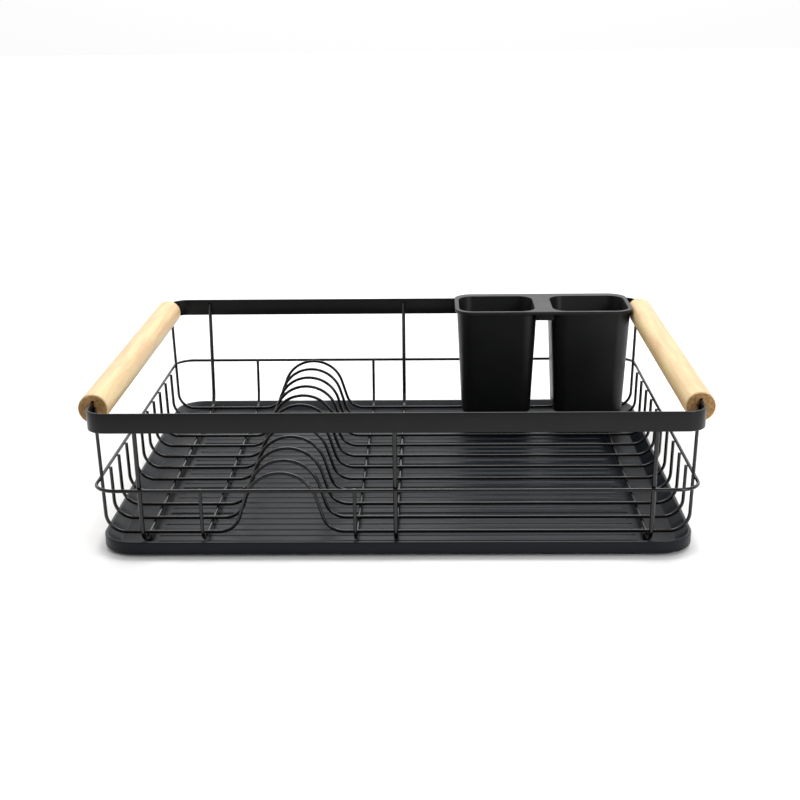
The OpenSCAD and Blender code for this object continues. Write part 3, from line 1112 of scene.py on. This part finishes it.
@dataclass
class Handle:
    """A grooved beech dowel with two screws in its outer side.

    Attributes:
        side: -1 for the left handle, 1 for the right.
        diameter: Diameter of the dowel.
        groove: Width of the groove that the rim band sits in.
        chamfer: Chamfer round the dowel's ends.
        groove_over: Height of the groove's end above the band.
        screw_inset: Distance of each screw from the dowel's end.
        screw_drop: Distance of the screws below the dowel's middle.
        seat_d: Diameter of a screw's seat.
        seat_depth: Depth of a screw's seat.
        seat_sides: Number of faces round a screw's seat.
        sides: Number of faces round the dowel.
    """

    side: int
    diameter: float = 24 * MM
    groove: float = 2.4 * MM
    chamfer: float = 0.8 * MM
    groove_over: float = 1 * MM
    screw_inset: float = 40 * MM
    screw_drop: float = 1 * MM
    seat_d: float = 7.6 * MM
    seat_depth: float = 3 * MM
    seat_sides: int = 32
    sides: int = 72

    def __post_init__(self) -> None:
        """Reads the handle's place from the frame."""
        self.word = "left" if self.side < 0 else "right"
        low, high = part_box(f"handle_{self.word}")
        self.centre = (low + high) / 2
        self.length = high.y - low.y
        self.groove_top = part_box("rim_band")[1].z + self.groove_over - self.centre.z

    def section(self, inset: float) -> list[Point]:
        """The dowel's cross-section with its groove, drawn in by an inset.

        Args:
            inset: How far the round outline is drawn in.

        Returns:
            X and Z about the dowel's middle, in order.
        """
        radius = self.diameter / 2 - inset
        half = self.groove / 2
        mouth = math.degrees(math.asin(half / radius))
        outline = arc((0.0, 0.0), radius, mouth - 90, 270 - mouth, self.sides)
        return outline + [(-half, self.groove_top), (half, self.groove_top)]

    def build(self, wood: bpy.types.Material, end_wood: bpy.types.Material) -> None:
        """Makes the dowel, with its end grain on its two end faces.

        Args:
            wood: Material of the turned surface.
            end_wood: Material of the sawn ends.
        """
        half = self.length / 2
        stations = (
            (-half, self.chamfer),
            (self.chamfer - half, 0.0),
            (half - self.chamfer, 0.0),
            (half, self.chamfer),
        )
        rings = [
            [self.centre + Vector((x, y, z)) for x, z in self.section(inset)]
            for y, inset in stations
        ]
        dowel = loft(f"handle_{self.word}_source", rings)
        seats = []
        for end in (-1, 1):
            reach = 2 * self.seat_depth
            bore = [(self.seat_d / 2, 0.0), (self.seat_d / 2, reach)]
            seat = lathe("screw_seat", bore, self.seat_sides)
            place = self.centre + Vector(
                (
                    self.side * (self.diameter / 2 - self.seat_depth),
                    end * (half - self.screw_inset),
                    -self.screw_drop,
                )
            )
            turn = Matrix.Rotation(self.side * math.pi / 2, 4, "Y")
            seat.data.transform(Matrix.Translation(place) @ turn)
            combine(dowel, seat, "DIFFERENCE")
            seats.append(seat)
        piece = evaluated(dowel, f"handle_{self.word}_dowel")
        for seat in seats:
            bpy.data.objects.remove(seat)
        smooth(piece)
        piece.data.materials.clear()
        piece.data.materials.append(wood)
        piece.data.materials.append(end_wood)
        for polygon in piece.data.polygons:
            at_end = abs(abs(polygon.center.y - self.centre.y) - half) < self.chamfer / 4
            polygon.material_index = 1 if at_end else 0
        finish_piece(piece, None, Body.RACK, [f"handle_{self.word}"])


@dataclass
class ScrewPair:
    """The two domed cross-head screws of one handle.

    Attributes:
        side: -1 for the left handle, 1 for the right.
        head_d: Diameter of a head.
        head_h: Height of a head.
        shank_d: Diameter of a shank.
        recess_width: Width of the cross recess's slots.
        recess_depth: Depth of the cross recess.
        recess_reach: Half length of a slot, as a share of the head's diameter.
        recess_corner: Radius of a slot's corners, as a share of half its width.
        recess_foot: Size of a slot at its foot, as a share of its drawn size.
        recess_mouth: Its size where it leaves the head.
        recess_steps: Number of stretches in each corner of a slot.
        crown: Radius of the dome's flat crown, as a share of the head's diameter.
        dome_steps: Number of rings in the dome.
        sides: Number of faces round a screw.
    """

    side: int
    head_d: float = 7 * MM
    head_h: float = 2.4 * MM
    shank_d: float = 3.5 * MM
    recess_width: float = 0.8 * MM
    recess_depth: float = 1.2 * MM
    recess_reach: float = 0.3
    recess_corner: float = 0.6
    recess_foot: float = 0.75
    recess_mouth: float = 1.1
    recess_steps: int = 3
    crown: float = 0.01
    dome_steps: int = 6
    sides: int = 32

    def build(self, tree: ShapeTree, material: bpy.types.Material) -> None:
        """Makes one screw and copies it.

        Args:
            tree: The tree that copies a shape along a line.
            material: The screws' material.
        """
        word = "left" if self.side < 0 else "right"
        low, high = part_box(f"handle_screws_{word}")
        length = high.x - low.x
        dome_r = self.head_d
        seat = length - self.head_h
        rim = math.asin(self.head_d / 2 / dome_r)
        turns = [rim * (1 - i / self.dome_steps) for i in range(self.dome_steps)]
        dome = [(dome_r * math.sin(a), length - dome_r * (1 - math.cos(a))) for a in turns]
        profile = [
            (self.shank_d / 2, 0.0),
            (self.shank_d / 2, seat),
            (self.head_d / 2, seat),
            *dome,
            (self.head_d * self.crown, length),
        ]
        screw = lathe("screw_source", profile, self.sides)
        slots = []
        long, narrow = self.head_d * self.recess_reach, self.recess_width / 2
        levels = (
            (length - self.recess_depth, self.recess_foot),
            (length + MM, self.recess_mouth),
        )
        for half_x, half_y in ((long, narrow), (narrow, long)):
            corner = narrow * self.recess_corner
            outline = rounded_rectangle(half_x, half_y, corner, self.recess_steps)
            rings = [[Vector((x * s, y * s, z)) for x, y in outline] for z, s in levels]
            slot = loft("recess", rings)
            combine(screw, slot, "DIFFERENCE")
            slots.append(slot)
        screw = evaluated(screw, "screw_source")
        for slot in slots:
            bpy.data.objects.remove(slot)
        inner_x = low.x if self.side > 0 else high.x
        place = Vector((inner_x, low.y + self.head_d / 2, (low.z + high.z) / 2))
        turn_over = Matrix.Rotation(self.side * math.pi / 2, 4, "Y")
        screw.data.transform(Matrix.Translation(place) @ turn_over)
        piece = tree.run(
            f"handle_{word}_screws",
            screw,
            {
                "Count": 2,
                "Pitch": (0.0, high.y - low.y - self.head_d, 0.0),
                "Material": material,
            },
        )
        smooth(piece)
        finish_piece(piece, None, Body.RACK, [f"handle_screws_{word}"])


@dataclass
class DripTray:
    """The shallow tray and its drain ribs.

    Attributes:
        corner_r: Outside radius of the corners.
        floor: Thickness of the floor.
        rim: Width of the rim on top.
        slope: Run of the sloped inner side.
        edge_r: Rounding of the outer bottom edge.
        lip_r: Rounding of the rim's two edges.
        foot_r: Rounding between the sloped inner side and the floor.
        foot_run: Distance from the end of the slope to that rounding's middle.
        corner_steps: Number of stretches in each corner.
        rib_pitch: Distance between ribs.
        rib_width: Width of a rib.
        rib_height: Height of a rib.
        rib_half: Half length of a rib.
        rib_blend: Width of a rib's foot, as a share of the rib's width.
        rib_fade: How a rib fades in from its end: the distance in rib widths and the share of its
            full size there.
        rib_sink: How far a rib reaches down into the floor.
        rib_steps: Number of faces on each side of a rib's crest.
    """

    corner_r: float = 28 * MM
    floor: float = 2 * MM
    rim: float = 3 * MM
    slope: float = 9 * MM
    edge_r: float = 1 * MM
    lip_r: float = 0.8 * MM
    foot_r: float = 3 * MM
    foot_run: float = 1.8 * MM
    corner_steps: int = 20
    rib_pitch: float = 11.8 * MM
    rib_width: float = 3 * MM
    rib_height: float = 1 * MM
    rib_half: float = 193.5 * MM
    rib_blend: float = 1.5
    rib_fade: tuple[Point, ...] = ((0.0, 0.15), (0.3, 0.6), (0.8, 0.9), (1.6, 1.0))
    rib_sink: float = 0.1 * MM
    rib_steps: int = 6

    def wall_profile(self, base: float, top: float) -> list[Point]:
        """The tray's wall from the underside round to the floor.

        Args:
            base: Height of the underside.
            top: Height of the rim.

        Returns:
            For each point its inset from the outline and its height.
        """
        r = self.edge_r
        floor_top = base + self.floor
        inner = self.rim + self.slope
        tilt = math.degrees(math.atan2(top - floor_top, self.slope))
        lip_z = top - self.lip_r
        outer_low = arc((r, base + r), r, 270, 180, 4)
        outer_high = arc((self.lip_r, lip_z), self.lip_r, 180, 90, 4)
        inner_high = arc((self.rim - self.lip_r, lip_z), self.lip_r, 90, 90 - tilt, 3)
        foot_middle = (inner + self.foot_run, floor_top + self.foot_r)
        foot = arc(foot_middle, self.foot_r, 270 - tilt, 270, 5)
        return [*outer_low, *outer_high, *inner_high, *foot]

    def build(self, material: bpy.types.Material, tree: ShapeTree) -> None:
        """Makes the tray with its ribs.

        Args:
            material: The tray's material.
            tree: The tree that copies a shape along a line.
        """
        low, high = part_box("drip_tray")
        half_x, half_y = high.x, high.y
        rings = []
        for inset, z in self.wall_profile(low.z, high.z):
            outline = rounded_rectangle(
                half_x - inset, half_y - inset, self.corner_r - inset, self.corner_steps
            )
            rings.append([Vector((x, y, z)) for x, y in outline])
        shell = loft("drip_tray_shell", rings)
        smooth(shell, angle=50)
        finish_piece(shell, material, Body.TRAY, ["drip_tray"])
        floor_top = low.z + self.floor
        rows = math.floor((half_y - self.rim - self.slope - self.rib_width) / self.rib_pitch)
        rib = self.rib(floor_top)
        rib.data.transform(Matrix.Translation((0, -rows * self.rib_pitch, 0)))
        ribs = tree.run(
            "drip_tray_ribs",
            rib,
            {
                "Count": 2 * rows + 1,
                "Pitch": (0.0, self.rib_pitch, 0.0),
                "Material": material,
            },
        )
        smooth(ribs, angle=60)
        finish_piece(ribs, None, Body.TRAY)

    def rib(self, floor_top: float) -> bpy.types.Object:
        """One low rounded rib with faded ends, through the tray's middle.

        Args:
            floor_top: Height of the tray's floor.

        Returns:
            The rib as an object.
        """
        half, rise = self.rib_blend * self.rib_width / 2, self.rib_height
        run = [(-self.rib_half + x * self.rib_width, s) for x, s in self.rib_fade]
        run += [(-x, s) for x, s in reversed(run)]
        across = [i / self.rib_steps - 1 for i in range(2 * self.rib_steps + 1)]
        rings = []
        for x, share in run:
            outline = [(half * share, -self.rib_sink)]
            outline += [
                (half * share * -t, rise * share * math.cos(t * math.pi / 2) ** 2) for t in across
            ]
            outline.append((-half * share, -self.rib_sink))
            rings.append([Vector((x, y, floor_top + z)) for y, z in outline])
        return loft("rib", rings)


@dataclass
class RubberParts:
    """The tray's four pads and the basket's four feet.

    Attributes:
        pad_edge: Rounding of a pad's lower edge.
        pad_turns: Angles of the points on that rounding, in radians.
        pad_sides: Number of faces round a pad.
        foot_edge: Rounding of a foot's edges.
        foot_corner: Radius of a foot's upright corners.
    """

    pad_edge: float = 0.8 * MM
    pad_turns: tuple[float, ...] = (0, 0.4, 0.8, 1.2, 1.57)
    pad_sides: int = 48
    foot_edge: float = 1.0 * MM
    foot_corner: float = 1.6 * MM

    def build(self, material: bpy.types.Material) -> None:
        """Makes all eight pieces.

        Args:
            material: Their material.
        """
        for node in sorted(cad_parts):
            if node.startswith("tray_pad"):
                self.build_pad(node, material)
            if node.startswith("rack_foot"):
                self.build_foot(node, material)

    def build_pad(self, node: str, material: bpy.types.Material) -> None:
        """Makes one round pad in place of a CAD node.

        Args:
            node: The CAD node.
            material: The pad's material.
        """
        low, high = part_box(node)
        radius, height, e = (high.x - low.x) / 2, high.z - low.z, self.pad_edge
        curve = [(radius - e + e * math.sin(a), e - e * math.cos(a)) for a in self.pad_turns]
        pad = lathe(f"{node}_disc", [*curve, (radius, height)], self.pad_sides)
        pad.data.transform(Matrix.Translation((middle_of(node, 0), middle_of(node, 1), low.z)))
        smooth(pad, angle=50)
        finish_piece(pad, material, Body.TRAY, [node])

    def build_foot(self, node: str, material: bpy.types.Material) -> None:
        """Makes one clipped-on foot in place of a CAD node.

        Args:
            node: The CAD node.
            material: The foot's material.
        """
        low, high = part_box(node)
        centre = (low + high) / 2
        half_x, half_y = (high.x - low.x) / 2, (high.y - low.y) / 2
        outline = rounded_rectangle(half_x, half_y, self.foot_corner, 4)
        rings = [
            [Vector((centre.x + x, centre.y + y, z)) for x, y in outline] for z in (low.z, high.z)
        ]
        foot = loft(f"{node}_source", rings)
        bevel(foot, self.foot_edge, 3)
        foot = evaluated(foot, f"{node}_clip")
        smooth(foot, angle=50)
        finish_piece(foot, material, Body.RACK, [node])


@dataclass
class UtensilCaddy:
    """Two moulded cups joined by one rim, with a skirt in front and a hook behind.

    Attributes:
        cup_width: Width of a cup at its mouth.
        cup_depth: Depth of a cup at its mouth.
        gap: Gap between the cups at the mouth.
        wall: Wall thickness.
        corner_r: Radius of a cup's corners at the mouth.
        draft: How much each side of a cup draws in down to its floor.
        corner_draw: Share of the draft that the corner radius shrinks by.
        rim: Thickness of the rim.
        overhang: How far the rim stands out past the cups.
        skirt_drop: Drop of the skirt in front.
        hook: Thickness of the hook.
        hook_drop: Drop of the hook behind the band.
        drain_d: Diameter of a drain hole.
        drain_part: The drain holes stand this part of a cup's mouth off its middle, 6 for a sixth.
        edge: Rounding of the moulding's edges.
        outer_floor_r: Rounding round the outside of a cup's floor.
        inner_floor_r: Rounding round the inside of a cup's floor.
        rim_overlap: How far the rim holds what hangs from it, as a share of its thickness.
    """

    cup_width: float = 78.5 * MM
    cup_depth: float = 69 * MM
    gap: float = 13.5 * MM
    wall: float = 2 * MM
    corner_r: float = 16 * MM
    draft: float = 5 * MM
    corner_draw: float = 0.7
    rim: float = 3.3 * MM
    overhang: float = 2 * MM
    skirt_drop: float = 9 * MM
    hook: float = 2.4 * MM
    hook_drop: float = 9 * MM
    drain_d: float = 6 * MM
    drain_part: int = 6
    edge: float = 0.7 * MM
    outer_floor_r: float = 2.5 * MM
    inner_floor_r: float = 1.5 * MM
    rim_overlap: float = 0.4

    def __post_init__(self) -> None:
        """Reads the caddy's place from the frame."""
        self.low, self.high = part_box("utensil_caddy")
        self.middle_x = (self.low.x + self.high.x) / 2
        self.front_y = self.low.y + self.overhang
        self.cup_y = self.front_y + self.cup_depth / 2
        self.height = self.high.z - self.low.z
        self.rim_low = self.high.z - self.rim

    def cup_ring(self, side: int, z: float, inset: float) -> list[Vector]:
        """A cup's outline at one height.

        Args:
            side: -1 for the left cup, 1 for the right.
            z: The height.
            inset: How far the outline lies inside the cup's outer skin.

        Returns:
            The outline's points.
        """
        draw = self.draft * (self.high.z - z) / self.height + inset
        radius = self.corner_r - self.corner_draw * draw
        outline = rounded_rectangle(
            self.cup_width / 2 - draw, self.cup_depth / 2 - draw, radius, 10
        )
        middle = self.middle_x + side * (self.cup_width + self.gap) / 2
        return [Vector((middle + x, self.cup_y + y, z)) for x, y in outline]

    def cup(
        self, side: int, inset: float, bottom: float, top: float, round_r: float
    ) -> bpy.types.Object:
        """A cup's outer or inner form, with its bottom edge rounded.

        Args:
            side: -1 for the left cup, 1 for the right.
            inset: How far it lies inside the cup's outer skin.
            bottom: Height of its bottom.
            top: Height of its top.
            round_r: Rounding of its bottom edge.

        Returns:
            The form as an object.
        """
        turns = [math.radians(15 * i) for i in range(7)]
        rings = [
            self.cup_ring(
                side,
                bottom + round_r * (1 - math.cos(a)),
                inset + round_r * (1 - math.sin(a)),
            )
            for a in turns
        ]
        rings.append(self.cup_ring(side, top, inset))
        return loft("cup_form", rings)

    def block(self, x: Point, y: Point, z: Point) -> bpy.types.Object:
        """A rectangular block between two corners, given as ranges."""
        outline = [(x[0], y[0]), (x[1], y[0]), (x[1], y[1]), (x[0], y[1])]
        return loft("block", [[Vector((px, py, level)) for px, py in outline] for level in z])

    def drain(self, side: int, i: int, j: int) -> bpy.types.Object:
        """The form of one drain hole.

        Args:
            side: -1 for the left cup, 1 for the right.
            i: -1 for a hole left of the cup's middle, 1 for right.
            j: -1 for a hole in front of the cup's middle, 1 for behind.

        Returns:
            The form as an object.
        """
        middle = self.middle_x + side * (self.cup_width + self.gap) / 2
        place = (
            middle + i * self.cup_width / self.drain_part,
            self.cup_y + j * self.cup_depth / self.drain_part,
            self.low.z - self.wall,
        )
        bore = [(self.drain_d / 2, 0.0), (self.drain_d / 2, 3 * self.wall)]
        hole = lathe("drain", bore, 24)
        hole.data.transform(Matrix.Translation(place))
        return hole

    def build(self, material: bpy.types.Material) -> None:
        """Makes the caddy from its joined outer forms, less its inner ones.

        Args:
            material: The caddy's material.
        """
        outline = rounded_rectangle(
            (self.high.x - self.low.x) / 2,
            (self.high.y - self.low.y) / 2,
            self.corner_r + self.overhang,
            14,
        )
        middle_y = (self.low.y + self.high.y) / 2
        plate = loft(
            "rim_plate",
            [
                [Vector((self.middle_x + x, middle_y + y, z)) for x, y in outline]
                for z in (self.rim_low, self.high.z)
            ],
        )
        reach = (self.high.x - self.low.x) / 2 - self.overhang - self.corner_r
        top = self.high.z - self.rim_overlap * self.rim
        web = self.gap / 2 + self.wall
        joined = [
            self.cup(side, 0.0, self.low.z, top, self.outer_floor_r) for side in (-1, 1)
        ]
        joined.append(
            self.block(
                (self.middle_x - web, self.middle_x + web),
                (self.front_y, self.front_y + self.wall),
                (self.high.z - self.skirt_drop, top),
            )
        )
        joined.append(
            self.block(
                (self.middle_x - reach, self.middle_x + reach),
                (self.high.y - self.hook, self.high.y),
                (self.rim_low - self.hook_drop, top),
            )
        )
        inner_low, inner_high = self.low.z + self.wall, self.high.z + MM
        cut = [
            self.cup(side, self.wall, inner_low, inner_high, self.inner_floor_r)
            for side in (-1, 1)
        ]
        cut += [self.drain(side, i, j) for side in (-1, 1) for i in (-1, 1) for j in (-1, 1)]
        for form in joined:
            combine(plate, form, "UNION")
        for form in cut:
            combine(plate, form, "DIFFERENCE")
        bevel(plate, self.edge, 3, 50)
        piece = evaluated(plate, "utensil_caddy_moulding")
        for form in joined + cut:
            bpy.data.objects.remove(form)
        smooth(piece, angle=50)
        finish_piece(piece, material, Body.CADDY, ["utensil_caddy"])


# ---- Studio -----------------------------------------------------------------------------------


@dataclass(frozen=True)
class StudioCamera:
    """The camera, placed in the rack's own frame.

    Attributes:
        place: Its position.
        heading: Its turn about Z away from +Y, in degrees.
        tilt: Its angle above the horizon, in degrees.
        roll: Its turn about its own axis, in degrees.
        lens: Focal length in mm.
        sensor: Width of the sensor in mm.
        clip: Nearest and furthest distance that it sees.
    """

    place: tuple[float, float, float] = (28.4 * MM, -1144.6 * MM, 434.0 * MM)
    heading: float = -1.427
    tilt: float = -17.586
    roll: float = -0.68
    lens: float = 59.57
    sensor: float = 36.0
    clip: tuple[float, float] = (0.01, 50.0)

    def build(self) -> None:
        """Makes the camera and hands it to the scene."""
        heading, tilt, roll = (math.radians(a) for a in (self.heading, self.tilt, self.roll))
        forward = Vector(
            (
                math.sin(heading) * math.cos(tilt),
                math.cos(heading) * math.cos(tilt),
                math.sin(tilt),
            )
        )
        level = Vector((math.cos(heading), -math.sin(heading), 0))
        above = level.cross(forward)
        right = math.cos(roll) * level + math.sin(roll) * above
        up = math.cos(roll) * above - math.sin(roll) * level
        data = bpy.data.cameras.new("studio_camera")
        data.sensor_width = self.sensor
        data.lens = self.lens
        data.clip_start, data.clip_end = self.clip
        camera = bpy.data.objects.new("studio_camera", data)
        turned = Matrix((right, up, -forward)).transposed().to_4x4()
        camera.matrix_world = Matrix.Translation(self.place) @ turned
        bpy.context.scene.collection.objects.link(camera)
        bpy.context.scene.camera = camera


@dataclass(frozen=True)
class SoftBox:
    """A rectangular area light that points at the rack.

    Attributes:
        name: Its name.
        place: Its position.
        size: Its width and height.
        power: Its power in watts.
        target: The point that it faces.
    """

    name: str
    place: tuple[float, float, float]
    size: tuple[float, float]
    power: float
    target: tuple[float, float, float] = (0.0, 0.0, 0.06)

    def build(self) -> None:
        """Makes the light."""
        data = bpy.data.lights.new(self.name, "AREA")
        data.shape = "RECTANGLE"
        data.size, data.size_y = self.size
        data.energy = self.power
        light = bpy.data.objects.new(self.name, data)
        light.location = self.place
        away = Vector(self.place) - Vector(self.target)
        light.rotation_euler = away.to_track_quat("Z", "Y").to_euler()
        bpy.context.scene.collection.objects.link(light)


@dataclass(frozen=True)
class Studio:
    """The pale floor, the white surroundings and the soft boxes.

    Attributes:
        floor_half: Half of the floor's side.
        bright_side: The direction in which the white surroundings are brightest.
        bright: Their strength on that side.
        dim: Their strength on the other side.
        fade: Cosine of the angle to the bright side at which they are dimmest and brightest.
        floor_colour: Colour of the floor, sRGB hex.
        floor_roughness: Its roughness.
        lights: The soft boxes.
    """

    floor_half: float = 7.5
    bright_side: tuple[float, float, float] = (0.0, 0.8, 0.6)
    bright: float = 1.0
    dim: float = 0.12
    fade: tuple[float, float] = (-0.4, 0.78)
    floor_colour: str = "#f4f4f4"
    floor_roughness: float = 0.9
    lights: tuple[SoftBox, ...] = (
        SoftBox("top", (0.1, 0.7, 1.5), (1.8, 0.6), 21),
        SoftBox("backdrop", (0.0, 5.5, 3.0), (12.0, 5.0), 230, (0.0, 5.5, 0.0)),
        SoftBox("left", (-1.6, -0.6, 1.1), (1.0, 1.0), 1.5),
        SoftBox("front_right", (0.8, -0.95, 0.5), (0.4, 0.4), 5, (0.5, -0.6, 0.0)),
    )

    def build(self) -> None:
        """Makes the floor, the world and the lights."""
        shape = bmesh.new()
        bmesh.ops.create_grid(shape, x_segments=1, y_segments=1, size=self.floor_half)
        floor = from_bmesh("floor", shape)
        white = bpy.data.materials.new("paper_matt_white")
        white.use_nodes = True
        shader = white.node_tree.nodes["Principled BSDF"]
        shader.inputs["Base Color"].default_value = linear(self.floor_colour)
        shader.inputs["Roughness"].default_value = self.floor_roughness
        floor.data.materials.append(white)
        world = bpy.data.worlds.new("studio")
        world.use_nodes = True
        tree = world.node_tree
        surround = tree.nodes["Background"]
        surround.inputs["Color"].default_value = linear("#ffffff")
        towards = add_node(
            tree,
            "ShaderNodeVectorMath",
            {"operation": "DOT_PRODUCT"},
            {0: add_node(tree, "ShaderNodeTexCoord").outputs["Generated"], 1: self.bright_side},
        )
        strength = add_node(
            tree,
            "ShaderNodeMapRange",
            inputs={
                "Value": towards.outputs["Value"],
                "From Min": self.fade[0],
                "From Max": self.fade[1],
                "To Min": self.dim,
                "To Max": self.bright,
            },
        )
        tree.links.new(strength.outputs["Result"], surround.inputs["Strength"])
        bpy.context.scene.world = world
        bpy.context.scene.view_settings.view_transform = "Standard"
        for light in self.lights:
            light.build()


def main() -> None:
    """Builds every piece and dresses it."""
    logging.basicConfig(level=logging.INFO, format="%(name)s: %(message)s")
    StudioCamera().build()
    steel = POWDER_COAT.build()
    wire_steel = WIRE_COAT.build()
    tray_plastic = TRAY_PLASTIC.build()
    rubber = RUBBER.build()
    zinc = ZINC.build()
    beech = BEECH_LONG.build()
    beech_end = BEECH_END.build()
    wires, nuggets, strips, copies = wire_tree(), nugget_tree(), strip_tree(), copies_tree()

    basket = WireBasket()
    basket.build_plate_wires(wires, wire_steel)
    basket.build_long_wires(wires, wire_steel)
    basket.build_ring(strips, wire_steel)
    basket.build_welds(nuggets, wire_steel)
    RimBand().build(strips, steel)
    for side in (-1, 1):
        Handle(side).build(beech, beech_end)
        ScrewPair(side).build(copies, zinc)
    DripTray().build(tray_plastic, copies)
    RubberParts().build(rubber)
    UtensilCaddy().build(CADDY_PLASTIC.build())
    Studio().build()


if __name__ == "__main__":
    main()
